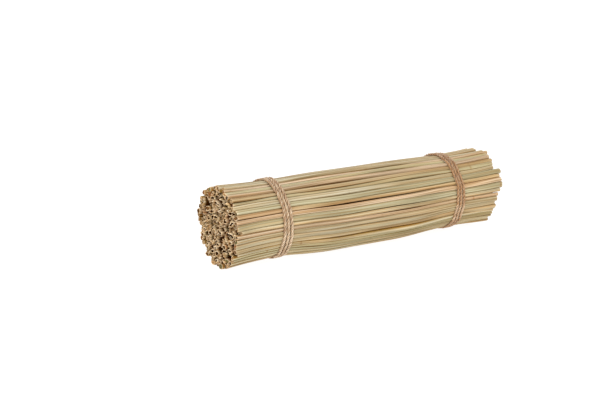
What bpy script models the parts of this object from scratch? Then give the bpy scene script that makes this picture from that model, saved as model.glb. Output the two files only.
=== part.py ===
"""A bunch of dried reeds, cut to one length, tied near both ends with jute twine and lying on its side.

Lengths are in metres. +X runs along the reeds from the cut butts to the thin ends and +Z is up.
The origin is on the surface that the bunch lies on, under the middle of its box.
Every reed of the outer layer is a piece of its own. The reeds inside them touch on all sides
and are one solid, whose two ends show a hollow for each reed. Each tie is one length of twine.
"""

import math

import bmesh
import bpy
import numpy as np
from mathutils import Vector

# Driving sizes of the reeds.
REED_LENGTH = 0.304
REED_RADIUS = 0.00215
REED_RADIUS_SPREAD = 0.00034
THINNEST_REED = 0.0015
THICKEST_REED = 0.0028
REED_WALL = 0.0006
HOLLOW_DEPTH = 0.007
REED_SIDES = 6
OUTER_REEDS = 52
INNER_REEDS = 198

# Driving sizes of the bunch: its radius over the reeds at each place, how far below its axis the
# underside is flat, and how high the tips stand. The ties are where it is tightest.
BUTT_RADIUS = 0.0395
TIED_RADIUS = 0.0371
MIDDLE_RADIUS = 0.0393
TIP_RADIUS = 0.0385
FLAT_DEPTH = 0.0366
BUTT_TIE_X = -0.097
MIDDLE_FROM_X = -0.030
MIDDLE_TO_X = 0.040
TIP_TIE_X = 0.107
TIP_LIFT = 0.0027

# Driving sizes of the ties. The lanes of the turns and the knot are measured in twine diameters.
TWINE_DIAMETER = 0.0026
TWINE_SIDES = 5
TURNS = 3
STEPS_PER_TURN = 27
KNOT_ANGLE = math.radians(5)
KNOT_HEIGHT = 1.75

# Clearance between neighbouring pieces, what more the twine needs because it bends in steps,
# how far the rims of the inner reeds draw back from the outer layer and how far out they may come
# where they are tied, and how far the sides of the inner reeds draw back.
GAP = 0.0003
BEND_ROOM = 0.00025
RIM_MARGIN = 0.0005
RIM_REACH = 0.0326
CORE_MARGIN = 0.0012

# How unevenly the ends are cut, and by how much the reeds high on the front were cut longer at the
# tip. How far a reed strays from its place where it is tied or loose, and the share of an outer
# reed's stray in or out of the bunch that it goes in.
BUTT_SPREAD = 0.0015
TIP_SPREAD = 0.0022
RIM_SPREAD = 0.0010
MOST_SPREADS = 2.2
LONGER_TIPS = {
    28: 0.004,
    29: 0.006,
    30: 0.002,
    31: 0.004,
    32: 0.004,
    33: 0.002,
    34: 0.002,
    35: 0.010,
    36: 0.008,
    37: 0.005,
    38: 0.007,
    41: 0.003,
}
SUNK_SPREAD = 0.00035
DEEPEST_SUNK = 0.0009
TIED_STRAY = 0.0001
LOOSE_STRAY = 0.0004
DRAWN_IN = 0.5

# The inner reeds are pushed apart this many times, by this share of what they overlap, and keep
# their middles this many reed radii inside the outline.
PUSHES = 500
PUSH_SHARE = 0.35
INNER_MARGIN = 3.2

# A reed's room is cut from a square that reaches this far, by so many of its nearest neighbours. A
# neighbour or the floor bounds a corner only if the corner points at least this much towards it.
ROOM_REACH = 3 * THICKEST_REED
NEAREST_NEIGHBOURS = 19
LEAST_TOWARDS = 0.05

SEED = 11

# Each tone's colour and its share of the reeds.
TONES = {
    "straw": ((0.54, 0.43, 0.25), 0.52),
    "green": ((0.46, 0.42, 0.25), 0.26),
    "tan": ((0.58, 0.40, 0.22), 0.13),
    "pink": ((0.62, 0.45, 0.30), 0.09),
}
JUTE = (0.50, 0.35, 0.23)
REED_ROUGHNESS = 0.6
JUTE_ROUGHNESS = 0.9

# A reed's flat side is this share of its radius from its middle.
FLAT_SHARE = math.cos(math.pi / REED_SIDES)


def clear_scene():
    for old in list(bpy.data.objects):
        bpy.data.objects.remove(old)


def material(name, colour, roughness):
    """A Principled material with a plain colour."""
    made = bpy.data.materials.new(name)
    made.use_nodes = True
    shader = made.node_tree.nodes["Principled BSDF"]
    shader.inputs["Base Color"].default_value = (*colour, 1)
    shader.inputs["Roughness"].default_value = roughness
    shader.inputs["Metallic"].default_value = 0
    return made


def add_object(name, data, finish, whole):
    """A named piece of the bunch, which hangs under the whole bunch's empty."""
    data.materials.append(finish)
    piece = bpy.data.objects.new(name, data)
    bpy.context.scene.collection.objects.link(piece)
    piece.parent = whole
    return piece


def mesh_from(name, shape):
    """A mesh with that shape, its faces turned outwards."""
    bmesh.ops.recalc_face_normals(shape, faces=shape.faces)
    mesh = bpy.data.meshes.new(name)
    shape.to_mesh(mesh)
    shape.free()
    return mesh


# Where the reeds are.


def reed_radii(random, count):
    """Radii of so many reeds, spread about the usual one."""
    radii = random.normal(REED_RADIUS, REED_RADIUS_SPREAD, count)
    return np.clip(radii, THINNEST_REED, THICKEST_REED)


def on_circle(angles, reach):
    """Points at those angles and distances from the axis."""
    return np.stack([reach * np.cos(angles), reach * np.sin(angles)], axis=-1)


class Station:
    """One place along the bunch: where each reed's centre is there, and how low the reeds come."""

    def __init__(self, x, radius, floor, stray, bunch):
        share = radius / TIED_RADIUS
        self.x = x
        self.rim_reach = RIM_REACH * share
        self.floor = floor
        self.axis_z = floor + FLAT_DEPTH * share
        offsets = bunch.random.normal(0, stray, bunch.centres.shape)
        outward = on_circle(bunch.facing, 1)
        strayed_out = (offsets[:OUTER_REEDS] * outward).sum(axis=1)
        inwards = DRAWN_IN * np.abs(strayed_out)
        offsets[:OUTER_REEDS] -= (inwards + strayed_out)[:, None] * outward
        self.centres = bunch.centres * share + offsets + (0, self.axis_z)
        flat = np.flatnonzero(bunch.on_flat)
        self.centres[flat, 1] = floor + bunch.radii[flat] * FLAT_SHARE


class Bunch:
    """Where all the reeds are. The outer ones come first in every array."""

    def __init__(self):
        self.random = np.random.default_rng(SEED)
        outer, outer_radii = self.outer_layer()
        inner, inner_radii = self.inner_reeds(outer, outer_radii)
        self.centres = np.concatenate([outer, inner])
        self.radii = np.concatenate([outer_radii, inner_radii])
        half = REED_LENGTH / 2
        over_twine = TWINE_DIAMETER + GAP + 2 * BEND_ROOM
        self.stations = [
            Station(-half, BUTT_RADIUS, 0, LOOSE_STRAY, self),
            Station(BUTT_TIE_X, TIED_RADIUS, over_twine, TIED_STRAY, self),
            Station(MIDDLE_FROM_X, MIDDLE_RADIUS, 0, LOOSE_STRAY, self),
            Station(MIDDLE_TO_X, MIDDLE_RADIUS, 0, LOOSE_STRAY, self),
            Station(TIP_TIE_X, TIED_RADIUS, over_twine, TIED_STRAY, self),
            Station(half, TIP_RADIUS, TIP_LIFT, LOOSE_STRAY, self),
        ]
        self.butt_x = -half - self.uneven(BUTT_SPREAD, OUTER_REEDS)
        self.tip_x = half + self.uneven(TIP_SPREAD, OUTER_REEDS)
        for number, longer in LONGER_TIPS.items():
            self.tip_x[number - 1] += longer

    def outer_layer(self):
        """Centres and radii of the outer reeds under a tie, side by side inside the outline.

        The outline is a circle that is cut flat where the bunch lies on its underside."""
        radii = reed_radii(self.random, OUTER_REEDS)
        ring = 2 * math.pi * (TIED_RADIUS - REED_RADIUS)
        radii *= ring / (2 * radii.sum())
        along = np.cumsum(2 * radii) - radii
        angles = 2 * math.pi * along / ring - math.pi / 2
        sunk = np.abs(self.random.normal(0, SUNK_SPREAD, OUTER_REEDS)).clip(0, DEEPEST_SUNK)
        centres = on_circle(angles, TIED_RADIUS - radii * FLAT_SHARE - sunk)
        lowest = radii * FLAT_SHARE - FLAT_DEPTH
        self.on_flat = centres[:, 1] < lowest
        self.facing = np.where(self.on_flat, -math.pi / 2, angles)
        centres[:, 1] = np.maximum(centres[:, 1], lowest)
        return centres, radii

    def inner_reeds(self, outer, outer_radii):
        """Centres and radii of the inner reeds, pushed apart in the outer layer until they settle."""
        radii = reed_radii(self.random, INNER_REEDS)
        room = TIED_RADIUS - INNER_MARGIN * REED_RADIUS
        reach = room * np.sqrt(self.random.random(INNER_REEDS))
        centres = on_circle(2 * math.pi * self.random.random(INNER_REEDS), reach)
        touching = radii[:, None] + np.concatenate([radii, outer_radii])[None, :]
        for _ in range(PUSHES):
            away = centres[:, None] - np.concatenate([centres, outer])[None]
            apart = np.linalg.norm(away, axis=2)
            np.fill_diagonal(apart, np.inf)
            overlap = np.clip(touching - apart, 0, None)
            centres = centres + PUSH_SHARE * (away * (overlap / apart)[:, :, None]).sum(axis=1)
            centres *= np.minimum(1, room / np.linalg.norm(centres, axis=1))[:, None]
        return centres, radii

    def uneven(self, spread, count):
        """Differences in length with that spread, none of them extreme."""
        most = MOST_SPREADS * spread
        return np.clip(self.random.normal(0, spread, count), -most, most)

    def border(self, station, one, other):
        """The way from one reed to another there, and how far off the line between them is.

        From that line the surfaces of both reeds are equally far."""
        way = station.centres[other] - station.centres[one]
        apart = np.linalg.norm(way, axis=-1)
        squares = self.radii[one] ** 2 - self.radii[other] ** 2
        return way / apart[..., None], (apart**2 + squares) / (2 * apart)

    def corners(self, station):
        """Corners of every outer reed there, one row for each reed.

        A corner is a radius from the centre, or less where a neighbour or the floor is nearer."""
        outer = np.arange(OUTER_REEDS)
        others = np.array([np.delete(np.arange(len(self.radii)), one) for one in outer])
        way, off = self.border(station, outer[:, None], others)
        turns = (np.arange(REED_SIDES) + 0.5) * 2 * math.pi / REED_SIDES
        spokes = on_circle(self.facing[:, None] + turns, 1)
        towards = np.einsum("nsk,nok->nso", spokes, way)
        free = (off - GAP / 2)[:, None] / towards.clip(LEAST_TOWARDS)
        free[towards < LEAST_TOWARDS] = np.inf
        reach = np.minimum(free.min(axis=2), self.radii[outer, None])
        above = station.centres[outer, 1:] - station.floor
        reach = np.minimum(reach, above / (-spokes[:, :, 1]).clip(LEAST_TOWARDS))
        return station.centres[outer, None] + reach[:, :, None] * spokes


# Outer reeds.


def reed_shape(rings):
    """A tube extruded from ring to ring, with a wall at the cut butt and a hollow in both ends."""
    shape = bmesh.new()
    butt = shape.faces.new([shape.verts.new(corner) for corner in rings[0]])
    end = butt
    for ring in rings[1:]:
        grown = bmesh.ops.extrude_face_region(shape, geom=[end])["geom"]
        if end is not butt:
            shape.faces.remove(end)
        end = next(item for item in grown if isinstance(item, bmesh.types.BMFace))
        for vertex, corner in zip(end.verts, ring):
            vertex.co = corner
    bmesh.ops.recalc_face_normals(shape, faces=shape.faces)
    bmesh.ops.inset_individual(shape, faces=[butt], thickness=REED_WALL)
    bmesh.ops.poke(shape, faces=[butt, end], offset=-HOLLOW_DEPTH)
    return shape


def add_outer_reeds(bunch, finishes, whole):
    """One piece for each reed of the outer layer."""
    sections = np.array([bunch.corners(station) for station in bunch.stations])
    places = [station.x for station in bunch.stations]
    shares = [share for _, share in TONES.values()]
    tones = bunch.random.choice(list(TONES), OUTER_REEDS, p=shares)
    for index in range(OUTER_REEDS):
        xs = [bunch.butt_x[index], *places[1:-1], bunch.tip_x[index]]
        rings = [[(x, *corner) for corner in section] for x, section in zip(xs, sections[:, index])]
        name = f"reed_{index + 1:02d}"
        add_object(name, mesh_from(name, reed_shape(rings)), finishes[tones[index]], whole)


# Inner reeds.


def add_cell(shape, bunch, station, index):
    """The room that an inner reed has among its neighbours there, as one face."""
    nearest = np.argsort(np.linalg.norm(station.centres - station.centres[index], axis=1))
    others = nearest[1 : NEAREST_NEIGHBOURS + 1]
    ways, offs = bunch.border(station, np.full(len(others), index), others)
    middle = Vector((station.x, *station.centres[index]))
    square = [(y * ROOM_REACH, z * ROOM_REACH) for y, z in ((-1, -1), (1, -1), (1, 1), (-1, 1))]
    face = shape.faces.new([shape.verts.new(middle + Vector((0, *corner))) for corner in square])
    kept = [*face.verts, *face.edges, face]
    for (y, z), off in zip(ways, offs):
        out = Vector((0, y, z))
        cut = bmesh.ops.bisect_plane(
            shape, geom=kept, plane_co=middle + out * off, plane_no=out, clear_outer=True
        )
        kept = cut["geom"]


def end_of_inner_reeds(shape, bunch, station, outwards):
    """The cut ends of the inner reeds: a hollow for each, whose rim it shares with its neighbours.

    Gives the edges round the outside."""
    before = set(shape.verts)
    for index in range(OUTER_REEDS, OUTER_REEDS + INNER_REEDS):
        add_cell(shape, bunch, station, index)
    rims = [vertex for vertex in shape.verts if vertex not in before]
    bmesh.ops.remove_doubles(shape, verts=rims, dist=GAP)
    rims = [vertex for vertex in shape.verts if vertex not in before]
    cells = list({face for vertex in rims for face in vertex.link_faces})
    for face in cells:
        if face.normal.x * outwards < 0:
            face.normal_flip()
    edges = [edge for edge in {e for v in rims for e in v.link_edges} if edge.is_boundary]
    axis = Vector((station.x, 0, station.axis_z))
    for vertex, jump in zip(rims, bunch.uneven(RIM_SPREAD, len(rims))):
        if vertex.is_boundary:
            spoke = vertex.co - axis
            reach = min(spoke.length - RIM_MARGIN, station.rim_reach)
            vertex.co = axis + spoke.normalized() * reach
        vertex.co.x += jump
    bmesh.ops.poke(shape, faces=cells, offset=-HOLLOW_DEPTH)
    return edges


def inside_loop(shape, bunch, station, x):
    """Edges round the inner reeds that stay inside the outer ones, a point between each two."""
    axis = np.array([0, station.axis_z])
    corners = bunch.corners(station) - axis
    along = np.roll(corners, -1, axis=1) - corners
    share = np.clip(-(corners * along).sum(axis=2) / (along**2).sum(axis=2), 0, 1)
    innermost = np.linalg.norm(corners + share[:, :, None] * along, axis=2).min(axis=1)
    reach = np.minimum(innermost, np.roll(innermost, -1)) - CORE_MARGIN
    middles = station.centres[:OUTER_REEDS] - axis
    between = middles + np.roll(middles, -1, axis=0)
    points = on_circle(np.arctan2(between[:, 1], between[:, 0]), reach) + axis
    loop = [shape.verts.new((x, *point)) for point in points]
    return [shape.edges.new(pair) for pair in zip(loop, loop[1:] + loop[:1])]


def add_inner_reeds(bunch, finish, whole):
    """The reeds inside the outer layer, as one solid with a hollow for each reed in both ends."""
    shape = bmesh.new()
    first, last = bunch.stations[0], bunch.stations[-1]
    loops = [
        end_of_inner_reeds(shape, bunch, first, -1),
        inside_loop(shape, bunch, first, first.x + HOLLOW_DEPTH),
        *[inside_loop(shape, bunch, station, station.x) for station in bunch.stations[1:-1]],
        inside_loop(shape, bunch, last, last.x - HOLLOW_DEPTH),
        end_of_inner_reeds(shape, bunch, last, 1),
    ]
    for here, beside in zip(loops, loops[1:]):
        bmesh.ops.bridge_loops(shape, edges=here + beside)
    add_object("inner_reeds", mesh_from("inner_reeds", shape), finish, whole)


# Ties.

# One strand's way through the reef knot, in twine diameters: along the twine, across it and up.
# The other strand goes the same way turned half round, so that the two bights lock.
BIGHT = [
    (-3.6, -0.62, 0.0),
    (-2.9, -0.62, 0.45),
    (-2.1, -0.64, 0.60),
    (-1.1, -0.80, 0.10),
    (0.0, -1.32, -0.58),
    (1.1, -1.88, -0.05),
    (2.0, -1.35, 0.50),
    (2.45, -0.6, 0.62),
    (2.6, 0.0, 0.64),
    (2.45, 0.6, 0.62),
    (2.0, 1.35, 0.50),
    (1.1, 1.88, -0.05),
    (0.0, 1.32, -0.58),
    (-1.1, 0.80, 0.10),
    (-2.1, 0.64, 0.60),
    (-2.9, 0.62, 0.45),
    (-3.6, 0.62, 0.0),
]
# From the knot's edge down to the strand's own lane beside the other turns.
DESCENT = [(-4.5, 0.85, 1.60), (-5.2, 1.40, 1.05), (-5.9, 1.66, 0.40), (-6.8, 1.70, 0.04)]
# From the knot's edge over the turns to the loose end, which lies on the reeds.
TAIL = [(-4.4, -0.95, 1.60), (-5.1, -1.70, 1.30), (-5.8, -2.60, 0.70), (-6.5, -3.50, 0.45)]


class TieLoop:
    """The line that a strand pulled tight round the reeds follows, wherever it lies at a tie."""

    def __init__(self, bunch, index):
        station = bunch.stations[index]
        near = bunch.stations[index - 1 : index + 2]
        self.x = station.x
        self.middle = np.array([0, station.axis_z])
        self.places = [place.x for place in near]
        self.sections = [bunch.corners(place).reshape(-1, 2) - self.middle for place in near]
        self.standoff = TWINE_DIAMETER / 2 + GAP + BEND_ROOM
        self.radius = TIED_RADIUS + self.standoff

    def corners(self, x):
        """Corners of the outer reeds there, from the tie towards the next station that way."""
        other = 2 if x > self.x else 0
        share = (x - self.x) / (self.places[other] - self.x)
        return self.sections[1] * (1 - share) + self.sections[other] * share

    def place(self, along, across, up):
        """A point of the tie: the furthest corner at that bearing, plus the twine's own reach."""
        angle = KNOT_ANGLE + along * TWINE_DIAMETER / self.radius
        way = on_circle(angle, 1)
        x = self.x + across * TWINE_DIAMETER
        corners = self.corners(x + math.copysign(TWINE_DIAMETER / 2, across))
        furthest = corners[np.argmax(corners @ way)]
        y, z = self.middle + furthest + (self.standoff + up * TWINE_DIAMETER) * way
        return x, y, z


def tie_route(loop):
    """Points along one tie: a loose end, the knot, the turns, the knot again, the other loose end."""
    length = TURNS * 2 * math.pi * loop.radius / TWINE_DIAMETER
    first = [*reversed(TAIL), *[(u, v, w + KNOT_HEIGHT) for u, v, w in BIGHT], *DESCENT]
    start, lane, _ = DESCENT[-1]
    end = -start - length
    steps = int(STEPS_PER_TURN * TURNS * (start - end) / length)
    shares = [step / steps for step in range(1, steps)]
    turns = [(start + (end - start) * share, lane * (1 - 2 * share), 0) for share in shares]
    last = [(-u - length, -v, w) for u, v, w in reversed(DESCENT)]
    last += [(-u - length, v, KNOT_HEIGHT - w) for u, v, w in BIGHT]
    last += [(-u - length, -v, w) for u, v, w in TAIL]
    return [loop.place(*point) for point in first + turns + last]


def twine_section():
    """The outline that the twine is swept from. It is a guide and not a piece."""
    outline = bpy.data.curves.new("twine_section", "CURVE")
    spline = outline.splines.new("POLY")
    spline.use_cyclic_u = True
    spline.points.add(TWINE_SIDES - 1)
    angles = -2 * math.pi * np.arange(TWINE_SIDES) / TWINE_SIDES
    for point, (x, y) in zip(spline.points, on_circle(angles, TWINE_DIAMETER / 2)):
        point.co = (x, y, 0, 1)
    guide = bpy.data.objects.new("twine_section", outline)
    guide.hide_render = True
    guide.display_type = "WIRE"
    bpy.context.scene.collection.objects.link(guide)
    return guide


def add_tie(bunch, index, name, section, finish, whole):
    """One tie: the twine's section swept along its route, with both ends closed."""
    route = tie_route(TieLoop(bunch, index))
    curve = bpy.data.curves.new(name, "CURVE")
    curve.dimensions = "3D"
    curve.bevel_mode = "OBJECT"
    curve.bevel_object = section
    curve.use_fill_caps = True
    spline = curve.splines.new("POLY")
    spline.points.add(len(route) - 1)
    for point, place in zip(spline.points, route):
        point.co = (*place, 1)
    add_object(name, curve, finish, whole)


def centre_on_origin(whole):
    """Moves the whole bunch so that the middle of its box is over the origin."""
    bpy.context.view_layer.update()
    graph = bpy.context.evaluated_depsgraph_get()
    meshes = [piece.evaluated_get(graph).to_mesh() for piece in whole.children]
    points = np.array([vertex.co[:] for mesh in meshes for vertex in mesh.vertices])
    middle = (points.min(axis=0) + points.max(axis=0)) / 2
    whole.location = (-middle[0], -middle[1], 0)


clear_scene()
finishes = {name: material(name, colour, REED_ROUGHNESS) for name, (colour, _) in TONES.items()}
jute = material("jute", JUTE, JUTE_ROUGHNESS)
whole_bunch = bpy.data.objects.new("whole_bunch", None)
bpy.context.scene.collection.objects.link(whole_bunch)
reeds = Bunch()
add_outer_reeds(reeds, finishes, whole_bunch)
add_inner_reeds(reeds, finishes["straw"], whole_bunch)
twine = twine_section()
add_tie(reeds, 1, "butt_tie", twine, jute, whole_bunch)
add_tie(reeds, 4, "tip_tie", twine, jute, whole_bunch)
centre_on_origin(whole_bunch)
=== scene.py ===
"""The looks of a bunch of dried reeds that lies on its side, tied near both ends with jute twine.

Lengths are in metres, in the part's own frame: +X runs along the reeds from the cut butts to the
thin ends, +Z is up and the bunch lies on z = 0.
"""

import math

import bpy
import numpy as np
from mathutils import Matrix, Vector


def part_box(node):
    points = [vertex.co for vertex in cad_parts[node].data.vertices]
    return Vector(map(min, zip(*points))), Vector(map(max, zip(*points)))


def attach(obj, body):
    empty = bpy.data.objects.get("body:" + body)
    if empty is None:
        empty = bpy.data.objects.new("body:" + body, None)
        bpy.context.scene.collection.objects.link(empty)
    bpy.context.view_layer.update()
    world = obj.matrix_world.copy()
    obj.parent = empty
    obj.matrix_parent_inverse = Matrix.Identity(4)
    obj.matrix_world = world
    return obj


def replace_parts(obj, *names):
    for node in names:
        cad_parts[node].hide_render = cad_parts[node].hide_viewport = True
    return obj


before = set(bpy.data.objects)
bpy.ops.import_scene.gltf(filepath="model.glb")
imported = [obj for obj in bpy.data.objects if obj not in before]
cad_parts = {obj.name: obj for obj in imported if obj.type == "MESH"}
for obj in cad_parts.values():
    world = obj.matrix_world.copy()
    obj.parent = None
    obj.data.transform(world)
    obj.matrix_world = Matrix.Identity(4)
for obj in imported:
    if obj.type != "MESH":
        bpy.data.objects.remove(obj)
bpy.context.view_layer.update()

# Camera.
# It stands low in front of the bunch, towards the cut butts, and looks along it from there with a
# long lens. It is aimed to the left of the bunch, which so lies right of the picture's middle.

CAMERA_AZIMUTH = math.radians(-32.44)
CAMERA_ELEVATION = math.radians(14.16)
CAMERA_DISTANCE = 1.589
CAMERA_RIGHT = -0.0517
CAMERA_UP = 0.0435
CAMERA_TARGET = Vector((-0.00286, -0.0032, 0))
CLIP_START = 0.01
LENS_MM = 96
SENSOR_MM = 36

level = math.cos(CAMERA_ELEVATION)
back = Vector((
    math.sin(CAMERA_AZIMUTH) * level,
    -math.cos(CAMERA_AZIMUTH) * level,
    math.sin(CAMERA_ELEVATION),
))
right = Vector((math.cos(CAMERA_AZIMUTH), math.sin(CAMERA_AZIMUTH), 0))
up = back.cross(right)
camera = bpy.data.objects.new("camera", bpy.data.cameras.new("camera"))
camera.data.lens = LENS_MM
camera.data.sensor_width = SENSOR_MM
camera.data.clip_start = CLIP_START
camera.matrix_world = Matrix((right, up, back)).transposed().to_4x4()
camera.location = CAMERA_TARGET + back * CAMERA_DISTANCE + right * CAMERA_RIGHT + up * CAMERA_UP
bpy.context.scene.collection.objects.link(camera)
bpy.context.scene.camera = camera

# Outer reeds.
# Thin dry stems, hollow and smooth, straw coloured with greenish, tan and pinkish ones among them.
# They were cut to one length, and each is held only by its neighbours and the two ties.

REED_LENGTH = 0.304
HALF_LENGTH = REED_LENGTH / 2
REED_RADIUS = 0.00215
REED_RADIUS_SPREAD = 0.00034
THINNEST_REED = 0.0015
THICKEST_REED = 0.0028
OUTER_REEDS = 52
INNER_REEDS = 198

# The bunch is round, pressed flat below, and thinner where it is tied: its outermost reeds reach this
# radius at each place along it. Under a tie the flat lies this deep below the axis. A reed on it rests
# on this share of its own radius. The tips are lifted a little.
BUTT_RADIUS = 0.0395
TIED_RADIUS = 0.0371
MIDDLE_RADIUS = 0.0393
TIP_RADIUS = 0.0385
FLAT_DEPTH = 0.0366
FLAT_SHARE = math.cos(math.pi / 6)
BUTT_TIE_X = -0.097
MIDDLE_FROM_X = -0.030
MIDDLE_TO_X = 0.040
TIP_TIE_X = 0.107
TIP_LIFT = 0.0027

# Each tie is a band of three turns with its knot behind, and the reeds pass over it below. The last
# turn's lane is this many twine diameters from the band's middle beside the knot, and the turns lie
# looser by this factor elsewhere.
TWINE_DIAMETER = 0.0026
TURNS = 3
LAST_LANE = 1.70
LOOSER = 1.19
KNOT_ANGLE = math.radians(5)
OVER_TWINE = TWINE_DIAMETER + 0.0008

# The cut ends are uneven, and a few tips, by their reeds' numbers, are a good deal longer.
BUTT_SPREAD = 0.0015
TIP_SPREAD = 0.0022
MOST_SPREADS = 2.2
LONGER_TIPS = {28: 0.004, 29: 0.006, 30: 0.002, 31: 0.004, 32: 0.004, 33: 0.002, 34: 0.002,
               35: 0.010, 36: 0.008, 37: 0.005, 38: 0.007, 41: 0.003}

# Under a tie the outer reeds have sunk a little out of line. Away from the ties all of them stray
# more, the outer ones never outwards. The inner ones keep this many reed radii inside the bunch, and
# are pushed apart, by a share of each overlap, until they have settled.
SUNK_SPREAD = 0.00035
DEEPEST_SUNK = 0.0009
TIED_STRAY = 0.0001
LOOSE_STRAY = 0.0004
DRAWN_IN = 0.5
PUSHES = 500
PUSH_SHARE = 0.35
INNER_MARGIN = 3.2
LAYOUT_SEED = 11

# The stems' tones, each with its share of the outer reeds.
TONES = {
    "straw": ((0.585, 0.510, 0.345), 0.52),
    "green": ((0.525, 0.482, 0.310), 0.26),
    "tan": ((0.605, 0.475, 0.280), 0.13),
    "pink": ((0.630, 0.485, 0.330), 0.09),
}


def on_circle(angles, reach):
    """Points (y, z) at those angles and distances: reach times (cosine, sine)."""
    return np.stack([reach * np.cos(angles), reach * np.sin(angles)], axis=-1)


class Station:
    """One place along the bunch: each reed's centre there, and how low the reeds come.

    The centres under a tie, scaled by the bunch's radius there, plus a random stray each."""

    def __init__(self, x, radius, floor, stray, bunch):
        share = radius / TIED_RADIUS
        self.x = x
        self.axis_z = floor + FLAT_DEPTH * share
        offsets = bunch.random.normal(0, stray, bunch.centres.shape)
        outward = on_circle(bunch.facing, 1)
        strayed_out = (offsets[:OUTER_REEDS] * outward).sum(axis=1)
        inwards = DRAWN_IN * np.abs(strayed_out)
        offsets[:OUTER_REEDS] -= (inwards + strayed_out)[:, None] * outward
        self.centres = bunch.centres * share + offsets + (0, self.axis_z)
        flat = np.flatnonzero(bunch.on_flat)
        self.centres[flat, 1] = floor + bunch.radii[flat] * FLAT_SHARE


class Bunch:
    """Where all the reeds are. The outer ones come first in every array."""

    def __init__(self):
        self.random = np.random.default_rng(LAYOUT_SEED)
        outer, outer_radii = self.outer_layer()
        inner, inner_radii = self.inner_reeds(outer, outer_radii)
        self.centres = np.concatenate([outer, inner])
        self.radii = np.concatenate([outer_radii, inner_radii])
        self.stations = [
            Station(-HALF_LENGTH, BUTT_RADIUS, 0, LOOSE_STRAY, self),
            Station(BUTT_TIE_X, TIED_RADIUS, OVER_TWINE, TIED_STRAY, self),
            Station(MIDDLE_FROM_X, MIDDLE_RADIUS, 0, LOOSE_STRAY, self),
            Station(MIDDLE_TO_X, MIDDLE_RADIUS, 0, LOOSE_STRAY, self),
            Station(TIP_TIE_X, TIED_RADIUS, OVER_TWINE, TIED_STRAY, self),
            Station(HALF_LENGTH, TIP_RADIUS, TIP_LIFT, LOOSE_STRAY, self),
        ]
        self.butt_x = -HALF_LENGTH - self.uneven(BUTT_SPREAD, OUTER_REEDS)
        self.tip_x = HALF_LENGTH + self.uneven(TIP_SPREAD, OUTER_REEDS)
        for number, longer in LONGER_TIPS.items():
            self.tip_x[number - 1] += longer
        shares = [share for _, share in TONES.values()]
        self.tones = self.random.choice(list(TONES), OUTER_REEDS, p=shares)

    def outer_layer(self):
        """Centres and radii of the outer reeds under a tie, side by side round a circle cut flat below.

        Each takes as much of the circle as it is wide. It lies its own radius inside the circle, and
        a little deeper where it has sunk, but no lower than the flat."""
        radii = self.reed_radii(OUTER_REEDS)
        ring = 2 * math.pi * (TIED_RADIUS - REED_RADIUS)
        radii *= ring / (2 * radii.sum())
        angles = 2 * math.pi * (np.cumsum(2 * radii) - radii) / ring - math.pi / 2
        sunk = np.abs(self.random.normal(0, SUNK_SPREAD, OUTER_REEDS)).clip(0, DEEPEST_SUNK)
        centres = on_circle(angles, TIED_RADIUS - radii * FLAT_SHARE - sunk)
        lowest = radii * FLAT_SHARE - FLAT_DEPTH
        self.on_flat = centres[:, 1] < lowest
        self.facing = np.where(self.on_flat, -math.pi / 2, angles)
        centres[:, 1] = np.maximum(centres[:, 1], lowest)
        return centres, radii

    def inner_reeds(self, outer, outer_radii):
        """Centres and radii of the inner reeds, pushed apart in the outer layer until they settle.

        A push moves each away from every reed it touches, by a share of how far the two overlap."""
        radii = self.reed_radii(INNER_REEDS)
        room = TIED_RADIUS - INNER_MARGIN * REED_RADIUS
        reach = room * np.sqrt(self.random.random(INNER_REEDS))
        centres = on_circle(2 * math.pi * self.random.random(INNER_REEDS), reach)
        touching = radii[:, None] + np.concatenate([radii, outer_radii])[None, :]
        for _ in range(PUSHES):
            away = centres[:, None] - np.concatenate([centres, outer])[None]
            apart = np.linalg.norm(away, axis=2)
            np.fill_diagonal(apart, np.inf)
            overlap = np.clip(touching - apart, 0, None)
            centres = centres + PUSH_SHARE * (away * (overlap / apart)[:, :, None]).sum(axis=1)
            centres *= np.minimum(1, room / np.linalg.norm(centres, axis=1))[:, None]
        return centres, radii

    def reed_radii(self, count):
        """Radii of so many reeds, spread in a bell curve about the usual one, none of them extreme."""
        radii = self.random.normal(REED_RADIUS, REED_RADIUS_SPREAD, count)
        return np.clip(radii, THINNEST_REED, THICKEST_REED)

    def uneven(self, spread, count):
        """Differences in length in a bell curve with that spread, none of them extreme."""
        most = MOST_SPREADS * spread
        return np.clip(self.random.normal(0, spread, count), -most, most)

    def centres_at(self, xs):
        """Every reed's centre at each x: eased from station to station, level with the axis at the ties.

        Between two stations the share of the second is 3t^2 - 2t^3, and past a tie it is t^2."""
        places = np.array([station.x for station in self.stations])
        centres = np.array([station.centres for station in self.stations])
        step = np.clip(np.searchsorted(places, xs, side="right") - 1, 0, len(places) - 2)
        t = np.clip((xs - places[step]) / (places[step + 1] - places[step]), 0, 1)
        share = 3 * t**2 - 2 * t**3
        share = np.where(step == 0, 1 - (1 - t) ** 2, share)
        share = np.where(step == len(places) - 2, t**2, share)
        return centres[step] * (1 - share)[:, None, None] + centres[step + 1] * share[:, None, None]


def waves(random, xs, count, size, lengths):
    """Smooth random lines over xs, one row each: a sum of sines of those lengths with random phases."""
    phases = random.random((count, len(lengths), 1)) * 2 * math.pi
    sizes = random.normal(0, size / math.sqrt(len(lengths)), (count, len(lengths), 1))
    return (sizes * np.sin(2 * math.pi * xs / np.array(lengths)[:, None] + phases)).sum(axis=1)


def one_wave(random, xs, size, lengths):
    """A single smooth random line over xs."""
    return waves(random, xs, 1, size, lengths)[0]


def oval(flatness, lean, angles):
    """A flattened reed's share of its radius at those angles: 1 + flatness * cos 2(angle - lean)."""
    return 1 + flatness * np.cos(2 * (angles - lean))


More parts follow.
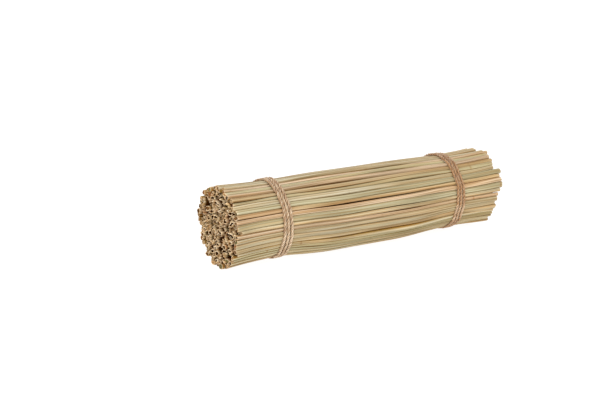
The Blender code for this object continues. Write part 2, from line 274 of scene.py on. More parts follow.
# Neighbours flatten each other: the power says how sharply, and a border counts only where the skin
# faces it. Nothing is flattened to less than this share of its radius.
CLEARANCE = 0.00002
SHARPNESS = 18
NEAR_NEIGHBOURS = 10
THINNEST_SHARE = 0.3


class Skin:
    """The outsides of some reeds: how far each is from its centre line, ring by ring and side by side."""

    def __init__(self, xs, centres, radii, flatness, leans, which, facing, sides, full):
        """The reach is the power mean of the reed's own oval, the borders with its neighbours and the
        floor, with a large negative power, so it is near the least of them. A border is where both
        skins are equally far: (d^2 + r1^2 - r2^2) / 2d along the way between two centres, with each
        oval's radius that way."""
        self.xs = xs
        self.centres = centres[:, which]
        own = radii[:, which]
        apart = np.linalg.norm(self.centres[:, :, None] - centres[:, None], axis=-1)
        apart[:, np.arange(len(which)), which] = np.inf
        near = np.argpartition(apart - radii[:, None], NEAR_NEIGHBOURS, axis=2)
        near = near[:, :, :NEAR_NEIGHBOURS]
        ring = np.arange(len(xs))[:, None, None]
        way = centres[ring, near] - self.centres[:, :, None]
        apart = np.take_along_axis(apart, near, axis=2)
        bearing = np.arctan2(way[..., 1], way[..., 0])
        this = own[:, :, None] * oval(flatness[which, None], leans[which, None], bearing)
        other = radii[ring, near] * oval(flatness[near], leans[near], bearing)
        off = (apart**2 + this**2 - other**2) / (2 * apart) - CLEARANCE
        angles = facing[:, None] + 2 * math.pi * np.arange(sides) / sides
        self.spokes = on_circle(angles, 1)
        towards = np.einsum("nsk,rnok->rnso", self.spokes, way / apart[..., None]).clip(0)
        least = THINNEST_SHARE * own[:, :, None]
        borders = (towards / off.clip(least)[:, :, None]) ** SHARPNESS
        floor = (-self.spokes[:, :, 1]).clip(0) / self.centres[:, :, 1:].clip(least)
        around = (own * full)[:, :, None] * oval(flatness[which, None], leans[which, None], angles)
        total = borders.sum(axis=3) + around ** -float(SHARPNESS) + floor**SHARPNESS
        self.reach = total ** (-1 / SHARPNESS)

    def at(self, index, xs):
        """One reed's centres and reach at any places, read between the rings."""
        after = np.clip(np.searchsorted(self.xs, xs), 1, len(self.xs) - 1)
        share = (xs - self.xs[after - 1]) / (self.xs[after] - self.xs[after - 1])
        share = np.clip(share, 0, 1)[:, None]
        return [
            values[after - 1, index] * (1 - share) + values[after, index] * share
            for values in (self.centres, self.reach)
        ]


def tube_faces(rings, sides):
    """Faces of a closed tube: a grid of rings and sides, and a fan of triangles to a pole at each end."""
    ring = np.arange(rings - 1)[:, None] * sides
    side = np.arange(sides)[None]
    after = (side + 1) % sides
    walls = np.stack([ring + side, ring + after, ring + sides + after, ring + sides + side], -1)
    side, after = side[0], after[0]
    first = np.stack([np.full(sides, rings * sides), after, side], -1)
    last = (rings - 1) * sides
    second = np.stack([np.full(sides, rings * sides + 1), last + side, last + after], -1)
    return walls.reshape(-1, 4), np.concatenate([first, second])


def capped(values):
    """The values of a tube's rings as one list, then those of its two poles, the end rings' means."""
    ends = [values[0].mean(axis=0)[None], values[-1].mean(axis=0)[None]]
    return np.concatenate([values.reshape(-1, values.shape[-1]), *ends])


def opaque(colours):
    """The colours with a full alpha after them."""
    return np.concatenate([colours, np.ones((*colours.shape[:-1], 1))], axis=-1)


def tinted(colours, share, tint):
    """The colours with a share of a tint on them: colour * (1 - share + share * tint)."""
    return colours * (1 - share + share * tint)


# A cut end is hollow, or closed by the stem's own joint in one of these colours, by their shares.
# Its cut slants, and may be split.
FILLS = {
    "pale": ((0.80, 0.59, 0.33), 0.36),
    "brown": ((0.34, 0.18, 0.065), 0.34),
    "rust": ((0.58, 0.29, 0.12), 0.14),
    "green": ((0.40, 0.36, 0.14), 0.16),
}
FILL_VARIES = 0.15
HOLLOW_DEPTH = (0.008, 0.016)
CLOSED_DEPTH = (0.0002, 0.0010)
SLANT_VARIES = (0.6, 1.4)
SPLIT_DEPTH = (0.0015, 0.0035)


def random_cut(random, closed_share, slants, split_share):
    """One cut end: how deep it is hollow, what fills it, and how far it slants and is split."""
    colours, shares = zip(*FILLS.values())
    fill = np.array(colours[random.choice(len(colours), p=shares)]) * (1 + FILL_VARIES * random.normal())
    closed = random.random() < closed_share
    return {
        "depth": random.uniform(*CLOSED_DEPTH) if closed else random.uniform(*HOLLOW_DEPTH),
        "fill": fill if closed else None,
        "slant": random.choice(slants) * random.uniform(*SLANT_VARIES),
        "split": random.uniform(*SPLIT_DEPTH) if random.random() < split_share else 0,
    }


# Which way the butt and the tip face. The wall is thicker on one side and down the bore, which has
# rings at these depths, or at these shares of a shallow one. The bore's colours are painted shade,
# dark from its mouth and darker inwards, and a closed end's fill is darkened deeper in by painted shade.
OUTWARDS = (-1, 1)
LOBES = (2, 3, 4)
SPLIT_POWER = 6
WALL_VARIES = 0.4
WALL_WIDENS = 0.2
BORE_DEPTHS = np.array((0.0030, 0.0012, 0.0003))
MOST_OF_BORE = (0.3, 0.2, 0.1)
RIM_EDGE = 0.12
RIM_HEIGHT = 0.00003
BROWN_RIM = np.array((0.62, 0.47, 0.31))
FILL_SHADE = 0.35
BORE_MOUTH_SHADE = np.array((0.20, 0.085, 0.008))
BORE_DEEP_SHADE = np.array((0.07, 0.026, 0.004))
DEEP_FROM = 0.0008
DEEPENING = 0.7


def cut_end(end, outwards, cut, look, sides, random):
    """The rows of a cut end, from the bottom of its bore out over the rim, and how the cut slants.

    A row is its x, how far each side is moved along x, its inset from the skin and its colours. The
    cut runs in from its longest side by 1 - cosine round the rim, and a split by a high power of a
    cosine. The wall is thicker and the rim browner on one side, by a cosine too."""
    turns = np.arange(sides) * 2 * math.pi / sides
    longest, split, thick, brown = random.random(4) * 2 * math.pi
    slant = cut["slant"] * np.cos(turns - longest)
    slant = slant + cut["split"] * np.cos(turns - split).clip(0) ** SPLIT_POWER
    for lobes in LOBES:
        slant += random.normal(0, look["wavy"]) * np.cos(lobes * turns + random.random() * 2 * math.pi)
    slant *= -outwards
    depth = cut["depth"]
    shares = (1, 0.5, *np.minimum(BORE_DEPTHS / depth, MOST_OF_BORE))
    ragged = random.normal(0, look["ragged"], (len(shares) + 1, sides))
    wall = look["wall"] * (1 + WALL_VARIES * np.cos(turns - thick))
    browned = look["patchy"] * (0.5 + 0.5 * np.cos(turns - brown))[:, None]
    rim = tinted(look["rim"], browned, BROWN_RIM)
    rows = []
    for rough, share in zip(ragged, shares):
        # Painted shade: a hollow bore darkens with depth, and a closed fill darkens towards its bottom.
        if cut["fill"] is None:
            dark = min(1, depth * share / DEEP_FROM) ** DEEPENING
            colour = BORE_MOUTH_SHADE * (1 - dark) + BORE_DEEP_SHADE * dark
            moved = slant * (1 - share)
        else:
            colour = cut["fill"] * (1 - FILL_SHADE * share)
            moved = slant + rough
        rows.append({
            "x": end - outwards * depth * share,
            "moved": moved,
            "inset": wall * (1 + WALL_WIDENS * share),
            "colours": colour * np.ones((sides, 1)),
        })
    moved = slant + ragged[-1]
    rows.append({"x": end, "moved": moved, "inset": wall, "colours": rim})
    rows.append({"x": end - outwards * RIM_HEIGHT, "moved": moved, "inset": RIM_EDGE * wall, "colours": rim})
    return rows, slant


def from_joint(xs, joint):
    """How far each x is from a reed's joint, or endlessly far where no joint shows."""
    return np.full(len(xs), math.inf) if joint is None else np.abs(xs - joint)


# A stem fades and warms in long waves along it. Its butt may be rusty, and a joint is darker.
FADING_LENGTHS = (0.05, 0.11, 0.25)
WARMING_LENGTHS = (0.09, 0.2, 0.4)
WARMTH = np.array((0.3, -0.2, -1.1))
RUST = np.array((0.50, 0.28, 0.12))
RUSTY_BUTT_X = -0.080
RUST_OVER = 0.02
JOINT_COLOUR = np.array((0.74, 0.52, 0.32))
JOINT_OVER = 0.0007

# The grooves between the reeds have painted shade, more so at the butts, and the twine has a painted
# shadow beside it, less of it on top of a reed.
GROOVE_SHADE_COLOUR = np.array((0.72, 0.58, 0.37))
GROOVE_OVER = 0.5
DEEPER_AT_BUTT = 0.3
DEEPER_OVER = 0.02
MOST_GROOVE_SHADE = 1.4
BAND_HALF = (LAST_LANE * LOOSER * 2 / TURNS + 0.5) * TWINE_DIAMETER
TWINE_SHADOW_COLOUR = np.array((0.26, 0.16, 0.07))
BESIDE_FROM = 0.85
BESIDE_OVER = 0.0017
BESIDE_ON_TOP = 0.1


def skin_colours(xs, ends, look, inwards, random):
    """The colours of a reed's skin, ring by ring and side by side.

    Its tone is mixed with rust at a rusty butt and multiplied by slow waves of lightness and warmth,
    then mixed with the rim's colour by a bell curve from each cut, as bleached fibre and, on the inner
    reeds, painted light. It is tinted by a bell curve at the joint, by painted shade in the grooves
    where the side faces in, and by a painted shadow in a bell curve from each tie's band."""
    shade = 1 + one_wave(random, xs, look["fading"], FADING_LENGTHS)
    warm = one_wave(random, xs, look["warming"], WARMING_LENGTHS)
    warm += look["warmer_tip"] * xs.clip(0) / HALF_LENGTH
    rusty = look["rusty_butt"] * np.clip((RUSTY_BUTT_X - xs) / RUST_OVER, 0, 1)[:, None]
    colours = (look["colour"] * (1 - rusty) + RUST * rusty) * shade[:, None] * (1 + warm[:, None] * WARMTH)
    from_end = np.minimum(xs - ends[0], ends[1] - xs)[:, None]
    # Near each cut the skin takes the rim's pale colour: bleached fibre, and on the inner reeds also painted
    # light on the sides that stand out.
    bleached_and_lit = look["bleached_and_lit"] * np.exp(-(from_end / look["bleached_and_lit_over"]) ** 2)
    colours = colours * (1 - bleached_and_lit) + look["rim"] * bleached_and_lit
    at_joint = np.exp(-(from_joint(xs, look["joint"]) / JOINT_OVER) ** 2)[:, None]
    colours = tinted(colours, at_joint, JOINT_COLOUR)[:, None]
    # Painted shade in the grooves, where the side faces in, deeper at the butts.
    groove = look["groove_shade"] * np.clip((inwards + look["groove_from"]) / GROOVE_OVER, 0, 1)
    deeper = 1 + DEEPER_AT_BUTT * np.clip((BUTT_TIE_X - xs) / DEEPER_OVER, 0, 1)
    groove = (groove * deeper[:, None]).clip(0, MOST_GROOVE_SHADE)[..., None]
    # Painted shadow of the twine: a bell curve from each tie's band, weaker on top of a reed.
    beside = np.zeros(len(xs))
    for band in look["bands"]:
        beside += np.exp(-((np.abs(xs - band) - BAND_HALF).clip(0) / BESIDE_OVER) ** 2)
    off_top = np.clip((inwards + BESIDE_FROM) / GROOVE_OVER, 0, 1)
    beside = (beside[:, None] * (BESIDE_ON_TOP + (1 - BESIDE_ON_TOP) * off_top))[..., None]
    return tinted(tinted(colours, groove, GROOVE_SHADE_COLOUR), beside, TWINE_SHADOW_COLOUR)


# The skin's rings keep clear of the cuts and of a joint, which has its own and bulges a little.
SKIN_FROM = 0.0002
RINGS_FROM = 0.001
SLANT_REACH = 0.012
JOINT_RINGS = np.array((-0.0024, -0.0010, -0.0004, 0.0004, 0.0010, 0.0024))
JOINT_ROOM = 0.003
BULGE_OVER = 0.0009
THINNEST_BORE = 0.22

# The reeds inside have painted shade away from the cut face and from their own cut ends.
PAINTED_SHADE_COLOUR = np.array((0.19, 0.085, 0.008))
DIM_FROM = 0.0031
DIM_OVER = 0.0045
SHADED_FROM = 0.0021
SHADED_OVER = 0.0006


def reed_tube(skin, index, ends, look, random):
    """One hollow reed as a closed tube, from the bottom of the butt's bore over its skin to the tip's.

    A point is (x, centre + (reach - inset) * spoke). Inside a bore the inset is the wall, on the skin
    it is nothing, and over the cut rim it goes from one to the other. Near an end the skin's rings
    follow the slant of the cut, less and less. The grain is the point's place from the centre line.
    Gives the arrays of a mesh."""
    sides = skin.spokes.shape[1]
    joint = look["joint"]
    (butt, butt_slant), (tip, tip_slant) = [
        cut_end(end, outwards, cut, look, sides, random)
        for end, outwards, cut in zip(ends, OUTWARDS, look["cuts"])
    ]

    def with_ends(field, values):
        """The values of the skin's rings, between those of the butt's rows and of the tip's."""
        return np.concatenate([[row[field] for row in butt], values, [row[field] for row in tip[::-1]]])

    rings = skin.xs[(skin.xs > ends[0] + RINGS_FROM) & (skin.xs < ends[1] - RINGS_FROM)]
    if joint is not None:
        rings = rings[np.abs(rings - joint) > JOINT_ROOM]
        rings = np.sort(np.concatenate([rings, joint + JOINT_RINGS]))
    rings = np.concatenate([[ends[0] + SKIN_FROM], rings, [ends[1] - SKIN_FROM]])
    moved = np.clip(1 - (rings - ends[0]) / SLANT_REACH, 0, 1)[:, None] * butt_slant
    moved = moved + np.clip(1 - (ends[1] - rings) / SLANT_REACH, 0, 1)[:, None] * tip_slant
    moved = with_ends("moved", moved)
    xs = with_ends("x", rings)
    inset = with_ends("inset", np.zeros((len(rings), sides)))
    centres, reach = skin.at(index, xs)
    reach = reach * (1 + look["bulge"] * np.exp(-(from_joint(xs, joint) / BULGE_OVER) ** 2))[:, None]
    out = np.maximum(reach - inset, THINNEST_BORE * reach)
    across = centres[:, None] + out[:, :, None] * skin.spokes[index]
    points = np.concatenate([(xs[:, None] + moved)[..., None], across], axis=2)

    inwards = np.cos(np.arange(sides) * 2 * math.pi / sides)
    colours = with_ends("colours", skin_colours(rings, ends, look, inwards, random))
    # Painted shade on the inner reeds: on the skin away from its own cut ends, and on everything deeper than
    # the cut face, set-back rims and fills too.
    from_face = HALF_LENGTH - np.abs(points[..., :1])
    from_end = np.minimum(xs - ends[0], ends[1] - xs)[:, None, None]
    shaded = np.clip((from_end - SHADED_FROM) / SHADED_OVER, 0, 1) * (inset <= 0)[..., None]
    dim = look["painted_shade"] * np.maximum(shaded, np.clip((from_face - DIM_FROM) / DIM_OVER, 0, 1))
    tint = opaque(tinted(colours, dim, PAINTED_SHADE_COLOUR))
    cut = ((inset > 0) | (look["painted_shade"] > 0))[..., None] * 1.0
    grain = points - np.concatenate([np.zeros((len(xs), 1)), centres], axis=1)[:, None]
    grain[:, :, 0] += look["grain"]
    walls, fans = tube_faces(len(xs), sides)
    return {"points": capped(points), "walls": walls, "fans": fans, "tint": capped(tint),
            "cut": capped(cut), "grain": capped(grain)}


def joined(tubes):
    """Several meshes' arrays as one mesh's: a face's numbers grow by the points of those before it."""
    counts = [len(tube["points"]) for tube in tubes]
    starts = np.cumsum([0, *counts[:-1]])
    return {
        name: np.concatenate([tube[name] + start if name in ("walls", "fans") else tube[name]
                              for tube, start in zip(tubes, starts)])
        for name in tubes[0]
    }


# Faces that meet more sharply than this keep an edge between them, as round a cut.
SHARP_ANGLE = math.radians(60)


def add_mesh(name, finish, slot, points, walls, fans, **attributes):
    """A piece with those points and faces. Its attributes are colours, places or numbers at the points."""
    mesh = bpy.data.meshes.new(name)
    mesh.from_pydata(points, [], [*walls.tolist(), *fans.tolist()])
    kinds = {4: ("FLOAT_COLOR", "color"), 3: ("FLOAT_VECTOR", "vector"), 1: ("FLOAT", "value")}
    for attribute, values in attributes.items():
        kind, field = kinds[values.shape[-1]]
        data = mesh.attributes.new(attribute, kind, "POINT").data
        data.foreach_set(field, values.astype(np.float32).ravel())
    mesh.shade_smooth()
    mesh.set_sharp_from_angle(angle=SHARP_ANGLE)
    mesh.materials.append(finish)
    piece = bpy.data.objects.new(name, mesh)
    bpy.context.scene.collection.objects.link(piece)
    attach(piece, "root")
    return piece


# How strong the finer noise in a grain is beside the coarser.
GRAIN_ROUGHNESS = 0.6


class Finish:
    """A Principled material whose nodes are added one after another."""

    def __init__(self, name):
        self.material = bpy.data.materials.new(name)
        self.material.use_nodes = True
        self.nodes = self.material.node_tree.nodes
        self.shader = self.nodes["Principled BSDF"]

    def add(self, kind, settings=(), **inputs):
        """A node of that kind. An input is a value or another node's output."""
        node = self.nodes.new("ShaderNode" + kind)
        for setting, value in dict(settings).items():
            setattr(node, setting, value)
        for name, value in inputs.items():
            self.join(node.inputs[name.replace("_", " ")], value)
        return node

    def join(self, socket, value):
        """Sets a socket to a value, or links another node's output to it."""
        if isinstance(value, bpy.types.NodeSocket):
            self.material.node_tree.links.new(value, socket)
        else:
            socket.default_value = value

    def attribute(self, name):
        """The node that reads one of the mesh's own attributes."""
        return self.add("Attribute", {"attribute_name": name})

    def streaks(self, scale, detail):
        """Noise on the piece's own grain, stretched by that scale along and across it."""
        grain = self.add("Mapping", Vector=self.attribute("grain").outputs["Vector"], Scale=scale)
        noise = self.add(
            "TexNoise", Vector=grain.outputs[0], Scale=1.0, Detail=detail, Roughness=GRAIN_ROUGHNESS)
        return noise.outputs["Fac"]

    def from_middle(self, noise):
        """How far noise is from its middle, which it crosses along thin lines: |noise - 0.5|."""
        off = self.add("Math", {"operation": "SUBTRACT"})
        self.join(off.inputs[0], noise)
        self.join(off.inputs[1], 0.5)
        return self.add("Math", {"operation": "ABSOLUTE"}, Value=off.outputs[0]).outputs[0]

    def ranged(self, value, low, high, new_low, new_high):
        """The value with low to high turned into the new range, and held inside it."""
        node = self.add(
            "MapRange", Value=value, From_Min=low, From_Max=high, To_Min=new_low, To_Max=new_high)
        return node.outputs[0]

    def mixed(self, blend, share, one, other):
        """Two colours mixed in that way."""
        node = self.add("Mix", {"data_type": "RGBA", "blend_type": blend})
        self.join(node.inputs[0], share)
        self.join(node.inputs[6], one)
        self.join(node.inputs[7], other)
        return node.outputs[2]

    def marked(self, colour, grain, marks):
        """The colour under those marks, one after another."""
        for blend, noise, begins, full, strength, mark in marks:
            shown = self.ranged(grain[noise], begins, full, 0, strength)
            colour = self.mixed(blend, shown, colour, mark)
        return colour


# A stem's grain is drawn out along it: the scale along and across, and the detail. Each mark it
# makes has a blend, the noise where it begins and where it is full, its strength and its colour.
STEM_GRAIN = {
    "fibres": ((12, 1000, 1000), 4.0),
    "streaks": ((6, 560, 560), 2.0),
    "lines": ((3.5, 480, 480), 1.5),
    "stains": ((150, 330, 330), 3.0),
}
STEM_MARKS = (
    ("MULTIPLY", "streaks", 0.48, 0.64, 1.0, (1.02, 0.86, 0.70, 1)),
    ("MULTIPLY", "streaks", 0.47, 0.36, 1.0, (1.12, 1.13, 1.16, 1)),
    ("MULTIPLY", "fibres", 0.58, 0.38, 0.9, (0.66, 0.61, 0.50, 1)),
    ("MULTIPLY", "lines", 0.070, 0.012, 0.95, (0.66, 0.54, 0.37, 1)),
    ("MULTIPLY", "stains", 0.67, 0.78, 0.6, (0.60, 0.44, 0.28, 1)),
)
STEM_GLOSS = {"low": 0.3, "high": 0.7, "new_low": 0.62, "new_high": 0.46}
CUT_ROUGHNESS = 0.95
STEM_BUMP = {"Distance": 0.00008, "Strength": 0.6}


def reed_finish(name, shine):
    """Dry straw: its own tint with fine streaks and thin lines along it, small stains and a soft gloss."""
    finish = Finish(name)
    grain = {kind: finish.streaks(*noise) for kind, noise in STEM_GRAIN.items()}
    grain["lines"] = finish.from_middle(grain["lines"])
    tint = finish.attribute("tint").outputs["Color"]
    finish.join(finish.shader.inputs["Base Color"], finish.marked(tint, grain, STEM_MARKS))
    gloss = finish.ranged(grain["fibres"], **STEM_GLOSS)
    cut = finish.attribute("cut").outputs["Fac"]
    roughness = finish.add("Mix", {"data_type": "FLOAT"}, Factor=cut, A=gloss, B=CUT_ROUGHNESS)
    finish.join(finish.shader.inputs["Roughness"], roughness.outputs[0])
    finish.shader.inputs["Specular IOR Level"].default_value = shine
    bump = finish.add("Bump", Height=grain["fibres"], **STEM_BUMP)
    finish.join(finish.shader.inputs["Normal"], bump.outputs[0])
    return finish.material


# The rings of a reed stand closer near its cut ends and at the twine's dents.
RING_STEP = 0.004
END_RINGS = (0.0012, 0.0024, 0.0044, 0.0072)
END_ROOM = 0.005
DENT_RINGS = np.array((0.0014, 0.0034, 0.0044, 0.0054, 0.0066, 0.0090))
DENT_ROOM = 0.0108

bunch = Bunch()
steps = np.linspace(
    -HALF_LENGTH + END_RINGS[-1], HALF_LENGTH - END_RINGS[-1], round(REED_LENGTH / RING_STEP))
for tie_x in (BUTT_TIE_X, TIP_TIE_X):
    clear = steps[np.abs(steps - tie_x) > DENT_ROOM]
    steps = np.sort(np.concatenate([clear, tie_x - DENT_RINGS, tie_x + DENT_RINGS]))
near_end = HALF_LENGTH - np.array((-END_ROOM, 0, *END_RINGS[:-1]))
ring_xs = np.concatenate([-near_end, steps, near_end[::-1]])
centres = bunch.centres_at(ring_xs)

# The frame's origin is under the middle of the part's box, and the layout's is under the ties' middle.
low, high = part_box("reed_01")
shift = np.array((low.x - bunch.butt_x[0], (low.y + high.y) / 2 - bunch.centres[0, 0], 0))

# Every reed is a little thicker at one end. Between the ties it wanders from its straight way in
# long waves, and some reeds have sunk in among the others for part of their length.
LOOKS_SEED = 5
TAPER = 0.10
MOST_TAPERS = 2
WANDER = 0.00030
WANDER_LENGTHS = (0.15, 0.28, 0.5)
SUNK_REEDS = 11
SUNK_PLACES = (-0.5 * HALF_LENGTH, 0.6 * HALF_LENGTH)
SUNK_DEPTH = (0.0006, 0.0014)
SUNK_LENGTH = (0.024, 0.060)

# The twine holds the reeds for some way from it and has pressed a dent into them, least on top.
TIE_GRIP = 0.030
DENT_DEPTH = 0.0010
DENT_ON_TOP = 0.2
DENT_LENGTH = 0.0055
PRESSED_IN = 0.00022

# Some lie a little over their neighbours between the ties: they bow to one side and stand out.
LEANING_REEDS = 14
LEANING_ASIDE = (0.0010, 0.0020)
LEANING_OUT = 0.0005
BOW_SKEW = (0.6, 1.7)
BOW_POWER = 1.5
LOWEST_SHARE = 0.45

# The reeds leave their straight ways: they wander and sink where no tie grips them, and the ties dent
# them by a bell curve along the bunch.
looks = np.random.default_rng(LOOKS_SEED)
outer = np.arange(OUTER_REEDS)
outward = on_circle(bunch.facing, 1)
from_tie = np.minimum(np.abs(ring_xs - BUTT_TIE_X), np.abs(ring_xs - TIP_TIE_X))
grip = np.minimum(1, from_tie / TIE_GRIP) ** 2
for axis in (0, 1):
    strays = waves(looks, ring_xs, len(bunch.radii), WANDER, WANDER_LENGTHS)
    centres[:, :, axis] += (strays * grip).T
sunk = looks.choice(OUTER_REEDS, SUNK_REEDS, replace=False)
places = looks.uniform(*SUNK_PLACES, SUNK_REEDS)
lengths = looks.uniform(*SUNK_LENGTH, SUNK_REEDS)
dips = looks.uniform(*SUNK_DEPTH, SUNK_REEDS) * np.exp(-(((ring_xs[:, None] - places) / lengths) ** 2))
centres[:, sunk] -= (dips * grip[:, None])[:, :, None] * outward[sunk]
on_top = np.sin(bunch.facing).clip(0) ** 2
for tie_x in (BUTT_TIE_X, TIP_TIE_X):
    dent = DENT_DEPTH * np.exp(-(((ring_xs - tie_x) / DENT_LENGTH) ** 2))
    dent = dent[:, None] * (1 - (1 - DENT_ON_TOP) * on_top)
    centres[:, outer] -= dent[..., None] * outward
centres[:, outer] -= PRESSED_IN * outward

# A bow is a sine from tie to tie, skewed and sharpened by powers.
leaning = looks.choice(OUTER_REEDS, LEANING_REEDS, replace=False)
along_tie = ((ring_xs - BUTT_TIE_X) / (TIP_TIE_X - BUTT_TIE_X)).clip(0, 1)[:, None]
bow = np.sin(math.pi * along_tie ** looks.uniform(*BOW_SKEW, LEANING_REEDS)) ** BOW_POWER
aside = bow * looks.uniform(*LEANING_ASIDE, LEANING_REEDS) * looks.choice((-1, 1), LEANING_REEDS)
centres[:, leaning] += aside[..., None] * on_circle(bunch.facing[leaning] + math.pi / 2, 1)
centres[:, leaning] += (bow * LEANING_OUT)[..., None] * outward[leaning]
centres[:, :, 1] = np.maximum(centres[:, :, 1], LOWEST_SHARE * bunch.radii)
tapers = looks.normal(0, TAPER, len(bunch.radii)).clip(-MOST_TAPERS * TAPER, MOST_TAPERS * TAPER)
radii = bunch.radii * (1 + tapers * ring_xs[:, None] / HALF_LENGTH)

# An outer reed fills more than its own round, and is flattened along the bunch's surface or across
# it. Most inner reeds are crushed, and stand nearly upright in the upper half.
OUTER_SIDES = 22
FULL = (1.08, 1.21)
FULL_WAVES = 0.03
FULL_LENGTHS = (0.08, 0.2)
FULLER_TIP = 0.08
USUALLY_FLAT = 0.02
FLATTENED = 0.15
MOST_FLATTENED = 0.30
CRUSHED_SHARE = 0.64
CRUSHED = (0.54, 0.77)
NOT_CRUSHED = (0, 0.35)
UPPER_LEAN = math.radians(88)
LOWER_LEAN = math.radians(58)
LEAN_SPREAD = math.radians(26)

# These reeds, numbered from nought, stand out by a tone and a flatness of their own.
STANDING_OUT = {
    28: ("pink", 0),
    30: ("pink", -0.12),
    35: ("tan", -0.20),
    36: ("pink", -0.12),
    39: ("pink", -0.06),
    42: ("tan", 0.1),
}

# How flat each reed is, which way it is widest, and how full the outer ones are.
crushed = looks.random(INNER_REEDS) < CRUSHED_SHARE
inner_flatness = np.where(
    crushed, looks.uniform(*CRUSHED, INNER_REEDS), looks.uniform(*NOT_CRUSHED, INNER_REEDS))
outer_flatness = looks.normal(USUALLY_FLAT, FLATTENED, OUTER_REEDS)
outer_flatness = outer_flatness.clip(-MOST_FLATTENED, MOST_FLATTENED)
for index, (_, flatter) in STANDING_OUT.items():
    outer_flatness[index] = flatter
flatness = np.concatenate([outer_flatness, inner_flatness])
inner_leans = np.where(bunch.centres[OUTER_REEDS:, 1] > 0, UPPER_LEAN, LOWER_LEAN)
inner_leans = inner_leans + looks.normal(0, LEAN_SPREAD, INNER_REEDS)
leans = np.concatenate([bunch.facing + math.pi / 2, inner_leans])
full = looks.uniform(*FULL, OUTER_REEDS) + waves(looks, ring_xs, OUTER_REEDS, FULL_WAVES, FULL_LENGTHS).T
full += FULLER_TIP * (ring_xs.clip(0) / HALF_LENGTH)[:, None]
outer_skin = Skin(
    ring_xs, centres, radii, flatness, leans, outer, bunch.facing + math.pi, OUTER_SIDES, full)

# How every outer reed is cut and coloured: the share of closed ends, the slants to choose from,
# the share of split ends and how deep those splits are beside an inner reed's, the wall, how ragged
# and wavy the cut is, how brown its rim is in places, how far the skin is bleached pale at the cut, how
# much it fades and warms along the reed, how much of the inner reeds' painted shade it has, and how
# far it bulges at a joint.
OUTER_CUTS = (0.7, (0.0001, 0.0003, 0.0006), 0.08)
OUTER_SPLIT = 0.35
OUTER_WALL = (0.0004, 0.0006)
OUTER_LOOK = {
    "ragged": 0.0001, "wavy": 0.0001, "patchy": 0.5, "bleached_and_lit": 0.2, "bleached_and_lit_over": 0.002,
    "fading": 0.07, "warming": 0.035, "painted_shade": 0, "bulge": 0.05,
}
OUTER_SHINE = 0.35
GRAIN_APART = 0.7

# What differs from reed to reed. These, numbered from nought, have a rusty butt or a joint that
# shows. A butt that ends short is closed. The lowest reeds have painted shade: darker and yellower,
# with darker, wider grooves.
RUSTY_BUTTS = {35: 0.65, 36: 0.12, 11: 0.8, 49: 0.6}
JOINTS = {37: 0.1575, 39: 0.123, 43: -0.080}
JOINT_SHARE = 0.25
JOINT_PLACES = (-0.14, 0.145)
SHORT_BUTT_X = -0.1505
SHORT_BUTT_DEPTH = 0.0004
TONE_VARIES = 0.07
WARMER_TIP = (0, 0.12)
RIM_COLOUR = np.array((1.00, 0.84, 0.62))
RIM_VARIES = 0.1
PAINTED_SHADE_BELOW = np.array((0.07, 0.07, 0.14))
GROOVE_FROM = 0.62
WIDER_BELOW = 0.34
GROOVE_SHADE_BELOW = 0.8

# The turns climb from lane to lane round the bunch, so each reed has the tie's band at its own place.
from_knot = (KNOT_ANGLE - bunch.facing) % (2 * math.pi) / (2 * math.pi)
band_shift = TWINE_DIAMETER * LAST_LANE * LOOSER * (1 - 2 * from_knot) / TURNS
tones = {name: np.array(tone) for name, (tone, _) in TONES.items()} | {"rust": RUST}
dried_reed = reed_finish("dried_reed", OUTER_SHINE)
for index in outer:
    tone = tones[STANDING_OUT[index][0] if index in STANDING_OUT else bunch.tones[index]]
    # Painted shade below: the lower a reed lies, the darker and yellower its tone and its grooves.
    lowest = max(0, -math.sin(bunch.facing[index]))
    look = {
        **OUTER_LOOK,
        "cuts": [random_cut(looks, *OUTER_CUTS) for _ in OUTWARDS],
        "wall": looks.uniform(*OUTER_WALL),
        "warmer_tip": looks.uniform(*WARMER_TIP),
        "colour": tone * (1 + TONE_VARIES * looks.normal() - PAINTED_SHADE_BELOW * lowest),
        "rim": RIM_COLOUR * (1 + RIM_VARIES * looks.normal()),
        "joint": looks.uniform(*JOINT_PLACES) if looks.random() < JOINT_SHARE else None,
        "groove_shade": 1 + GROOVE_SHADE_BELOW * lowest,
        "groove_from": GROOVE_FROM + WIDER_BELOW * lowest,
        "rusty_butt": RUSTY_BUTTS.get(index, 0),
        "bands": (BUTT_TIE_X + band_shift[index], TIP_TIE_X + band_shift[index]),
        "grain": index * GRAIN_APART,
    }
    look["joint"] = JOINTS.get(index, look["joint"])
    for cut in look["cuts"]:
        cut["split"] *= OUTER_SPLIT
    if bunch.butt_x[index] > SHORT_BUTT_X:
        look["cuts"][0].update(depth=SHORT_BUTT_DEPTH, fill=np.array(FILLS["pale"][0]))
    name = f"reed_{index + 1:02d}"
    ends = (bunch.butt_x[index], bunch.tip_x[index])
    tube = reed_tube(outer_skin, index, ends, look, looks)
    tube["points"] = tube["points"] + shift
    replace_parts(add_mesh(name + "_stem", dried_reed, "reed", **tube), name)

# Inner reeds.
# The same stems, packed inside the others. Only their cut ends show: crushed rims round dark hollows,
# some longer and some shorter, and many closed by the stem's own joint.

# They have fewer sides and rings than the outer ones. A few of their ends are set well back, and all
# of them are uneven.
INNER_SHINE = 0.04
INNER_SIDES = 12
INNER_FULL = 1.17
INNER_RING_STEP = 5
SET_BACK_SHARE = 0.10
SET_BACK = (0.002, 0.005)
INNER_SPREAD = 0.0020
MOST_INNER_SPREADS = 2

